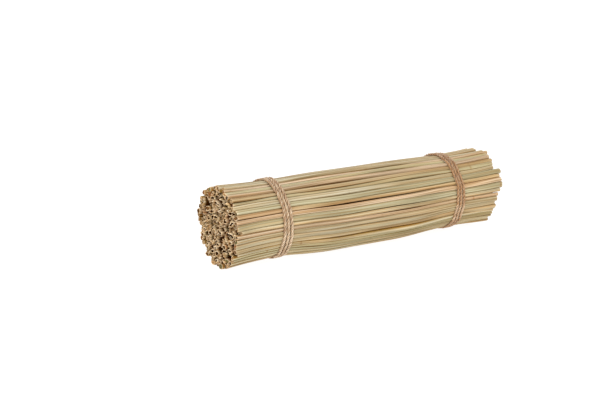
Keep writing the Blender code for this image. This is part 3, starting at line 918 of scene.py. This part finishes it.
# The tones' shares in the order of their names, rust last. A rim takes up some of its stem's tone,
# more of it where the stem is darker.
INNER_TONES = (0.42, 0.20, 0.14, 0.10, 0.14)
INNER_TINT = np.array((0.98, 0.90, 0.74))
INNER_TONE = 0.95
INNER_TONE_VARIES = 0.1
PALE_STEMS = ("straw", "green")
PALE_TONED = (0, 0.12)
DARK_TONED = (0.05, 0.5)
TONED_BRIGHTER = 1.1

# They are cut and coloured as the outer ones are, but more roughly. Painted shade dims them between
# their ends, and painted light brightens their skins just behind each cut.
INNER_CUTS = (0.40, (0.0003, 0.0008, 0.0014), 0.3)
INNER_WALL = (0.0005, 0.0009)
INNER_LOOK = {
    "ragged": 0.0004, "wavy": 0.0004, "patchy": 0.06, "bleached_and_lit": 0.9, "bleached_and_lit_over": 0.0012,
    "fading": 0.05, "warming": 0.06, "painted_shade": 1, "bulge": 0, "warmer_tip": 0, "groove_shade": 0,
    "groove_from": 0, "rusty_butt": 0, "bands": (), "joint": None,
}

inner = np.arange(OUTER_REEDS, OUTER_REEDS + INNER_REEDS)
first_step = len(near_end) + 1
last_step = len(ring_xs) - first_step
picked = np.r_[:first_step, first_step:last_step:INNER_RING_STEP, last_step:len(ring_xs)]
inner_facing = looks.random(INNER_REEDS) * 2 * math.pi
inner_skin = Skin(
    ring_xs[picked], centres[picked], radii[picked], flatness, leans, inner, inner_facing,
    INNER_SIDES, INNER_FULL)
inner_tones = looks.choice(list(tones), INNER_REEDS, p=INNER_TONES)
tubes = []
for index in range(INNER_REEDS):
    set_back = np.where(looks.random(2) < SET_BACK_SHARE, looks.uniform(*SET_BACK, 2), 0)
    uneven = looks.normal(0, INNER_SPREAD, 2)
    uneven = uneven.clip(-MOST_INNER_SPREADS * INNER_SPREAD, MOST_INNER_SPREADS * INNER_SPREAD)
    tone = tones[inner_tones[index]] * INNER_TINT * (INNER_TONE + INNER_TONE_VARIES * looks.normal())
    toned = looks.uniform(*(PALE_TONED if inner_tones[index] in PALE_STEMS else DARK_TONED))
    look = {
        **INNER_LOOK,
        "cuts": [random_cut(looks, *INNER_CUTS) for _ in OUTWARDS],
        "wall": looks.uniform(*INNER_WALL),
        "colour": tone,
        "rim": RIM_COLOUR * (1 - toned) + tone * toned * TONED_BRIGHTER,
        "grain": index * GRAIN_APART,
    }
    ends = (-HALF_LENGTH - uneven[0] + set_back[0], HALF_LENGTH + uneven[1] - set_back[1])
    tubes.append(reed_tube(inner_skin, index, ends, look, looks))
tube = joined(tubes)
tube["points"] = tube["points"] + shift
inner_reed = reed_finish("inner_reed", INNER_SHINE)
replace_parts(add_mesh("inner_reed_stems", inner_reed, "inner_reed", **tube), "inner_reeds")

# Ties.
# Each is one length of jute twine, three plies twisted together, pulled tight in three turns and closed
# with a reef knot behind. Brown fibres stray from it and its cut ends are frayed.

# One strand's way through the reef knot, in twine diameters: along the twine, across it and up. The
# other strand goes the same way turned half round, so that the two bights lock. Last come its ways
# down from the knot to its own lane, and over the turns to the loose end.
KNOT_HEIGHT = 1.75
CURVE_STEPS = 12
BIGHT = [
    (-3.6, -0.62, 0.0),
    (-2.9, -0.62, 0.45),
    (-2.1, -0.64, 0.60),
    (-1.1, -0.80, 0.10),
    (0.0, -1.32, -0.58),
    (1.1, -1.88, -0.05),
    (2.0, -1.35, 0.50),
    (2.45, -0.6, 0.62),
    (2.6, 0.0, 0.64),
    (2.45, 0.6, 0.62),
    (2.0, 1.35, 0.50),
    (1.1, 1.88, -0.05),
    (0.0, 1.32, -0.58),
    (-1.1, 0.80, 0.10),
    (-2.1, 0.64, 0.60),
    (-2.9, 0.62, 0.45),
    (-3.6, 0.62, 0.0),
]
DESCENT = [(-4.5, 0.85, 1.60), (-5.2, 1.40, 1.05), (-5.9, 1.66, 0.40), (-6.8, LAST_LANE, 0.04)]
TAIL = [(-4.4, -0.95, 1.60), (-5.1, -1.70, 1.30), (-5.8, -2.60, 0.70), (-6.5, -3.50, 0.45)]


def curve_through(points, steps):
    """A smooth curve through the points: on each stretch the cubic whose slope at a point is half the
    way between its two neighbours."""
    padded = np.concatenate([2 * points[:1] - points[1:2], points, 2 * points[-1:] - points[-2:-1]])
    a, b, c, d = padded[:-3, None], padded[1:-2, None], padded[2:-1, None], padded[3:, None]
    t = (np.arange(steps) / steps)[None, :, None]
    squares = a - 2.5 * b + 2 * c - d / 2
    cubes = 1.5 * b - a / 2 - 1.5 * c + d / 2
    curve = b + t * (c - a) / 2 + t**2 * squares + t**3 * cubes
    return np.concatenate([curve.reshape(-1, points.shape[1]), points[-1:]])


# The turns weave a little to the side, in twine diameters, but not beside the knot.
TURN_STEP = 0.15
SIDE_WEAVE = 0.22
SIDE_WEAVE_LENGTHS = (0.03, 0.06, 0.11)
FREE_PARTS = 20


def tie_lanes(radius, random):
    """The tie's way in twine diameters, as in BIGHT: loose end, knot, turns, knot, loose end.

    Along the turns the lane goes evenly from the last one to its opposite, spread a little where it
    is free of the knot, plus a weave."""
    length = TURNS * 2 * math.pi * radius / TWINE_DIAMETER
    bight = np.array(BIGHT)
    descent = np.array(DESCENT)
    tail = np.array(TAIL)
    lift = (0, 0, KNOT_HEIGHT)
    start, lane, _ = DESCENT[-1]
    share = np.arange(0, 1, TURN_STEP / length)[1:, None]
    along = start - (2 * start + length) * share
    weave = one_wave(random, along[:, 0] * TWINE_DIAMETER, SIDE_WEAVE, SIDE_WEAVE_LENGTHS)[:, None]
    free = np.minimum(1, np.minimum(share, 1 - share) * FREE_PARTS)
    lanes = lane * (1 - 2 * share) * (1 + (LOOSER - 1) * free)
    turns = np.concatenate([along, lanes + weave * free, 0 * share], axis=1)
    far = (-length, 0, 0)
    first = curve_through(np.concatenate([tail[::-1], bight + lift, descent]), CURVE_STEPS)
    last = np.concatenate([
        descent[::-1] * (-1, -1, 1) + far,
        bight * (-1, 1, -1) + lift + far,
        tail * (-1, -1, 1) + far,
    ])
    return np.concatenate([first[:-1], turns, curve_through(last, CURVE_STEPS)])


def evenly(points, step):
    """The same line with points at even steps along it, and their places along it."""
    along = np.concatenate([[0], np.cumsum(np.linalg.norm(np.diff(points, axis=0), axis=1))])
    places = np.linspace(0, along[-1], int(along[-1] / step) + 1)
    return places, np.stack([np.interp(places, along, axis) for axis in points.T], axis=1)


# The twine is sunk into the reeds and slack on top, and weaves a little up and down. Its points are
# evenly spaced, and sharp corners of its way are eased over a few of them.
STANDOFF = 0.36 * TWINE_DIAMETER
TOP_SLACK = 0.00035
UP_WEAVE = 0.06
UP_WEAVE_LENGTHS = (0.02, 0.05)
TWINE_STEP = 0.0005
EASED_STEPS = 4
EASED_SPREAD = 2.0


def tie_path(skin, tie_x, random):
    """The twine's middle line, the places of its points along it, and the bunch's middle (y, z).

    At each way out from the bunch a point is the furthest one of the reeds' outline that way, plus
    (standoff + slack + height) * way. The line is made even, and eased by a mean of its neighbours
    in a bell curve."""
    outline = []
    for index in range(OUTER_REEDS):
        centre, reach = skin.at(index, np.array([tie_x]))
        outline.append(centre + reach[0][:, None] * skin.spokes[index])
    outline = np.concatenate(outline)
    middle = (outline.min(axis=0) + outline.max(axis=0)) / 2
    lanes = tie_lanes(TIED_RADIUS + STANDOFF, random)
    lanes[:, 2:] += one_wave(random, lanes[:, 0] * TWINE_DIAMETER, UP_WEAVE, UP_WEAVE_LENGTHS)[:, None]
    ways = on_circle(KNOT_ANGLE + lanes[:, 0] * TWINE_DIAMETER / (TIED_RADIUS + STANDOFF), 1)
    furthest = outline[np.argmax(outline @ ways.T, axis=0)]
    slack = TOP_SLACK * ways[:, 1:].clip(0) ** 4
    across = furthest + (STANDOFF + slack + lanes[:, 2:] * TWINE_DIAMETER) * ways
    line = np.concatenate([tie_x + lanes[:, 1:2] * TWINE_DIAMETER, across], axis=1)
    _, line = evenly(line, TWINE_STEP)
    window = np.exp(-(np.arange(-EASED_STEPS, EASED_STEPS + 1) / EASED_SPREAD) ** 2)
    window /= window.sum()
    padded = np.concatenate([line[:1].repeat(EASED_STEPS, 0), line, line[-1:].repeat(EASED_STEPS, 0)])
    line = np.stack([np.convolve(axis, window, "valid") for axis in padded.T], axis=1)
    return (*evenly(line, TWINE_STEP), middle)


def frame_along(line, middle):
    """Two directions square to the line at each point: away from the bunch's axis, and to the side.

    The first is the way from the axis less its part along the line, and the second is square to both."""
    ahead = np.gradient(line, axis=0)
    ahead /= np.linalg.norm(ahead, axis=1)[:, None]
    out = line - (0, *middle)
    out[:, 0] = 0
    out -= (out * ahead).sum(axis=1)[:, None] * ahead
    out /= np.linalg.norm(out, axis=1)[:, None]
    return out, np.cross(ahead, out)


# Jute has pale and rusty patches. It is browner on top, and has one painted highlight, a pale spot in
# front near the floor.
PALE_JUTE = np.array((1.00, 0.86, 0.68))
RUSTY_JUTE = np.array((0.46, 0.27, 0.15))
PLY_TONE_VARIES = 0.12
PATCHES = 0.34
PATCH_LENGTHS = (0.006, 0.014, 0.035, 0.09)
LONG_PATCHES = 0.22
LONG_PATCH_LENGTHS = (0.15, 0.4)
MOST_TONED = 0.8
TOP_TONE = 0.35
TOP_FROM = 0.2
PAINTED_HIGHLIGHT = 0.7
HIGHLIGHT_FACING = -2.8
HIGHLIGHT_OVER = 0.2

# The creases between the plies and the twine's flanks are in shade. Its tint makes them browner.
CREASE_LIGHT = 0.40
CREASE_FROM = 0.4
CREASE_OVER = 0.65
FLANK_SHADE = 0.42
FLANK_POWER = 3
SHADE_TINT = np.array((0.80, 1.20, 1.75))


def ply_colours(along, out, off, colour, random):
    """A ply's colours: jute mixed with pale or rusty jute by waves along it, to the power of its shade.

    The light in a crease grows evenly with a point's distance from the twine's middle line, and the
    flanks lose some by the cube of how far they are to the side."""
    outermost = np.linalg.norm(off, axis=2) / (TWINE_DIAMETER / 2)
    beside = np.abs(off[:, :, 0]) / (TWINE_DIAMETER / 2)
    light = CREASE_LIGHT + (1 - CREASE_LIGHT) * np.clip((outermost - CREASE_FROM) / CREASE_OVER, 0, 1)
    light *= 1 - FLANK_SHADE * beside.clip(0, 1) ** FLANK_POWER
    patches = PLY_TONE_VARIES * random.normal() + one_wave(random, along, PATCHES, PATCH_LENGTHS)
    patches += one_wave(random, along, LONG_PATCHES, LONG_PATCH_LENGTHS)
    patches -= TOP_TONE * (out[:, 2] - TOP_FROM).clip(0)
    # A painted highlight: a pale spot where the twine faces front and a little down.
    facing = np.arctan2(out[:, 2], out[:, 1])
    patches += PAINTED_HIGHLIGHT * np.exp(-((facing - HIGHLIGHT_FACING) / HIGHLIGHT_OVER) ** 2)
    patches = patches[:, None, None]
    toned = colour + patches.clip(0, MOST_TONED) * (PALE_JUTE - colour)
    toned = toned + (-patches).clip(0, MOST_TONED) * (RUSTY_JUTE - colour)
    return toned * light[..., None] ** SHADE_TINT


# The plies wind round the twine's middle line, pressed flat against the bunch, uneven in lay and
# thickness, and come loose and thin at the two ends.
PLIES = 3
PLY_PITCH = 0.0105
PLY_SIDES = 9
PRESSED_LAY = 0.72
PRESSED_PLY = 0.85
LAY_VARIES = 0.25
LAY_LENGTHS = (0.02, 0.05)
PLY_VARIES = 0.12
PLY_LENGTHS = (0.006, 0.015, 0.04)
LOOSE_END = 0.0035
LOOSE_LAY = 0.9
LOOSE_THINNER = 0.35
FIBRE_PITCH = 0.006
GRAIN_RADIUS = 0.0006
PLY_GRAIN_APART = 3


def ply_tube(ply, twine, colour, fluffy, random):
    """One ply as a tube round line + lay * (cos a * out + sin a * side), with a = 2 pi s / pitch."""
    along, line, out, side = twine
    loose = np.exp(-np.minimum(along, along[-1] - along) / LOOSE_END)
    ply_radius = TWINE_DIAMETER / 2 / (1 + 2 / math.sqrt(3)) * fluffy
    lay = (TWINE_DIAMETER / 2 * fluffy - ply_radius) * (1 + LOOSE_LAY * loose)
    angle = 2 * math.pi * (along / PLY_PITCH + ply / PLIES)
    angle = (angle + one_wave(random, along, LAY_VARIES, LAY_LENGTHS))[:, None]
    centre = line + lay[:, None] * (PRESSED_LAY * np.cos(angle) * out + np.sin(angle) * side)
    thick = 1 + one_wave(random, along, PLY_VARIES, PLY_LENGTHS) - LOOSE_THINNER * loose
    turns = 2 * math.pi * np.arange(PLY_SIDES) / PLY_SIDES
    ring = PRESSED_PLY * np.cos(turns)[:, None] * out[:, None] + np.sin(turns)[:, None] * side[:, None]
    points = centre[:, None] + (ply_radius * thick)[:, None, None] * ring
    tint = opaque(ply_colours(along, out, points - line[:, None], colour, random))
    spin = turns[None] - 2 * math.pi * along[:, None] / FIBRE_PITCH
    lengthwise = along[:, None] + ply * PLY_GRAIN_APART + 0 * spin
    grain = np.concatenate([lengthwise[..., None], on_circle(spin, GRAIN_RADIUS)], axis=-1)
    walls, fans = tube_faces(len(line), PLY_SIDES)
    return {"points": capped(points), "walls": walls, "fans": fans, "tint": capped(tint),
            "grain": capped(grain)}


# A fibre is a thin tube that follows the twine for this length, turns a little round it, rises from
# it and tapers.
FIBRE_RINGS = 6
FIBRE_SIDES = 3
FIBRE_LENGTH = (0.003, 0.009)
FIBRE_TURN = 1.0
FIBRE_ROOT = 0.44 * TWINE_DIAMETER
MOST_RISE = 0.0025
RISE_POWER = 1.5
FIBRE_TAPER = 0.6
LOWEST_FIBRE = 0.0001
FIBRE_COLOUR = np.array((0.86, 0.72, 0.55))


def stray_fibres(twine, start, radius, stray, random):
    """Fibres that leave the twine at a slant: line + (r + rise * t^1.5) * (cos a * out + sin a * side)."""
    along, line, out, side = twine
    count = len(start)
    length = random.uniform(*FIBRE_LENGTH, count) * random.choice((-1, 1), count)
    angle = random.random(count) * 2 * math.pi
    turn = random.normal(0, FIBRE_TURN, count)
    rise = np.abs(random.normal(0, stray, count)).clip(0, MOST_RISE)
    steps = np.linspace(0, 1, FIBRE_RINGS)
    place = (start[:, None] + length[:, None] * steps).clip(0, along[-1])
    index = np.searchsorted(along, place).clip(0, len(along) - 1)
    a = (angle[:, None] + turn[:, None] * steps)[..., None]
    off = FIBRE_ROOT + rise[:, None] * steps**RISE_POWER
    out, side = out[index], side[index]
    centre = line[index] + off[..., None] * (np.cos(a) * out + np.sin(a) * side)
    turns = 2 * math.pi * np.arange(FIBRE_SIDES)[:, None] / FIBRE_SIDES
    thin = radius * (1 - FIBRE_TAPER * steps)
    ring = np.cos(turns) * out[:, :, None] + np.sin(turns) * side[:, :, None]
    points = centre[:, :, None] + thin[None, :, None, None] * ring
    points[..., 2] = points[..., 2].clip(LOWEST_FIBRE)
    walls, fans = tube_faces(FIBRE_RINGS, FIBRE_SIDES)
    tint = capped(opaque(FIBRE_COLOUR * np.ones((FIBRE_RINGS, FIBRE_SIDES, 1))))
    return [
        {"points": capped(fibre), "walls": walls, "fans": fans, "tint": tint, "grain": capped(fibre)}
        for fibre in points
    ]


# Fibres stray from the twine everywhere, and a few thicker ones where it runs over the top.
FIBRES = 700
FIBRE_RADIUS = 0.00006
FIBRE_STRAY = 0.0009
THICK_FIBRES = 50
THICK_FIBRE_RADIUS = 0.00013
THICK_FIBRE_STRAY = 0.0016
FRAY_DROP = 0.006


def add_tie(name, tie_x, finish, colour, fluffy, random):
    """One tie: its plies, the fibres that stray from it, and the thicker ones near its highest point."""
    along, line, middle = tie_path(outer_skin, tie_x, random)
    twine = (along, line, *frame_along(line, middle))
    tubes = [ply_tube(ply, twine, colour, fluffy, random) for ply in range(PLIES)]
    everywhere = random.random(FIBRES) * along[-1]
    tubes += stray_fibres(twine, everywhere, FIBRE_RADIUS, FIBRE_STRAY, random)
    on_top = np.flatnonzero(line[:, 2] > line[:, 2].max() - FRAY_DROP)
    frayed = along[random.choice(on_top, THICK_FIBRES)]
    tubes += stray_fibres(twine, frayed, THICK_FIBRE_RADIUS, THICK_FIBRE_STRAY, random)
    tube = joined(tubes)
    tube["points"] = tube["points"] + shift
    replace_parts(add_mesh(name + "_twine", finish, "jute", **tube), name)


# Jute's grain and its marks, given as a stem's are, and how dull, fluffy and rough it is.
JUTE_GRAIN = {
    "fibres": ((160, 4200, 4200), 3.0),
    "strands": ((90, 1500, 1500), 2.0),
}
JUTE_MARKS = (
    ("MIX", "strands", 0.52, 0.70, 0.55, (0.88, 0.70, 0.52, 1)),
    ("MULTIPLY", "fibres", 0.56, 0.34, 0.85, (0.50, 0.40, 0.32, 1)),
)
JUTE_ROUGHNESS = 0.9
JUTE_SHINE = 0.2
JUTE_SHEEN = 0.25
JUTE_BUMP = {"Distance": 0.0002, "Strength": 0.8}


def jute_finish():
    """Jute: its own tint with fibres along each ply, dark between them, and a dull fluffy surface."""
    finish = Finish("jute_twine")
    grain = {kind: finish.streaks(*noise) for kind, noise in JUTE_GRAIN.items()}
    tint = finish.attribute("tint").outputs["Color"]
    finish.join(finish.shader.inputs["Base Color"], finish.marked(tint, grain, JUTE_MARKS))
    finish.shader.inputs["Roughness"].default_value = JUTE_ROUGHNESS
    finish.shader.inputs["Specular IOR Level"].default_value = JUTE_SHINE
    finish.shader.inputs["Sheen Weight"].default_value = JUTE_SHEEN
    bump = finish.add("Bump", Height=grain["fibres"], **JUTE_BUMP)
    finish.join(finish.shader.inputs["Normal"], bump.outputs[0])
    return finish.material


# The butt tie's jute is greyer and fluffier than the tip tie's.
BUTT_JUTE = np.array((0.76, 0.61, 0.43))
BUTT_FLUFFY = 1.28
TIP_JUTE = np.array((0.64, 0.40, 0.205))
TIP_FLUFFY = 1.14

jute = jute_finish()
add_tie("butt_tie", BUTT_TIE_X, jute, BUTT_JUTE, BUTT_FLUFFY, looks)
add_tie("tip_tie", TIP_TIE_X, jute, TIP_JUTE, TIP_FLUFFY, looks)

# Floor and light.
# A plain pale surface in a plain white room, with one broad soft light in front, a little to the left.
# The floor shines a little itself, so that it stays white beside the bunch.

FLOOR_REACH = 20
FLOOR_COLOUR = (0.2, 0.2, 0.2, 1)
FLOOR_ROUGHNESS = 0.9
FLOOR_GLOW = 0.93
WHITE = (1, 1, 1, 1)
ROOM_LIGHT = 0.93
LAMP_PLACE = Vector((-0.85, -1.33, 1.38))
LAMP_AIM = Vector((0, 0, 0.04))
LAMP_WIDTH = 1.2
LAMP_HEIGHT = 0.8
LAMP_WATTS = 15

floor_finish = Finish("floor")
floor_finish.shader.inputs["Base Color"].default_value = FLOOR_COLOUR
floor_finish.shader.inputs["Roughness"].default_value = FLOOR_ROUGHNESS
floor_finish.shader.inputs["Emission Color"].default_value = WHITE
floor_finish.shader.inputs["Emission Strength"].default_value = FLOOR_GLOW
floor_mesh = bpy.data.meshes.new("floor")
corners = [(x * FLOOR_REACH, y * FLOOR_REACH, 0) for x, y in ((-1, -1), (1, -1), (1, 1), (-1, 1))]
floor_mesh.from_pydata(corners, [], [(0, 1, 2, 3)])
floor_mesh.materials.append(floor_finish.material)
floor = bpy.data.objects.new("floor", floor_mesh)
bpy.context.scene.collection.objects.link(floor)

world = bpy.data.worlds.new("room")
bpy.context.scene.world = world
world.use_nodes = True
world.node_tree.nodes["Background"].inputs["Color"].default_value = WHITE
world.node_tree.nodes["Background"].inputs["Strength"].default_value = ROOM_LIGHT

lamp = bpy.data.objects.new("softbox", bpy.data.lights.new("softbox", "AREA"))
lamp.data.shape = "RECTANGLE"
lamp.data.size = LAMP_WIDTH
lamp.data.size_y = LAMP_HEIGHT
lamp.data.energy = LAMP_WATTS
lamp.location = LAMP_PLACE
lamp.rotation_euler = (LAMP_AIM - LAMP_PLACE).to_track_quat("-Z", "Y").to_euler()
bpy.context.scene.collection.objects.link(lamp)
bpy.context.scene.view_settings.view_transform = "Standard"
